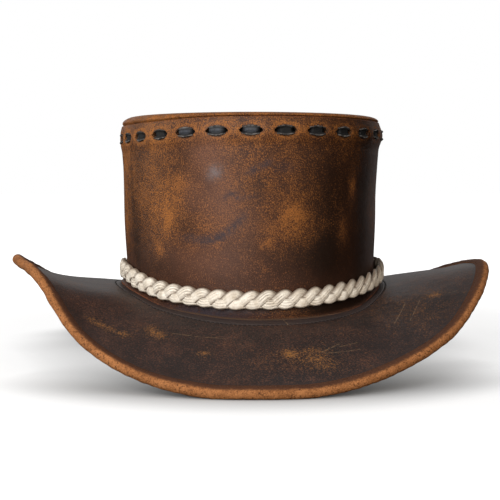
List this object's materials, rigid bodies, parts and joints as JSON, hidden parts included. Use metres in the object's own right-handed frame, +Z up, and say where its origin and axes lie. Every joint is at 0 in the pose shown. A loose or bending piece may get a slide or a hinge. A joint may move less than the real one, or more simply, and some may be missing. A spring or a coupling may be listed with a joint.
{
  "type": "laced leather bush hat with plaited band",
  "caption": "Tall straight-sided leather hat with a laced-on flat tip, a rolled wide brim bound at its edge, and a three-strand plaited band round the foot of the crown.",
  "frame": {"origin": "on the floor under the crown's axis, the middle of the hat's outline seen from above", "axes": "+Z up out of the crown; -Y towards the hat's front; +X to the right of someone facing the hat"},
  "size_m": [0.3273, 0.3554, 0.1672],
  "materials": {
    "crown_leather": "worn oiled leather, soft sheen, orange-tan where rubbed",
    "tip_leather": "worn oiled leather, soft sheen",
    "lace_leather": "black leather lace, semi-gloss",
    "brim_leather": "dark worn leather with a grey sheen and tan scuffs",
    "binding_leather": "rough tan leather, matt, speckled dark",
    "plait": "undyed cotton strands, matt"
  },
  "bodies": {
    "root": {"crown_side": "crown_leather", "crown_tip": "tip_leather", "crown_lace": "lace_leather", "brim": "brim_leather", "brim_binding": "binding_leather", "hat_band": "plait"}
  },
  "joints": []
}
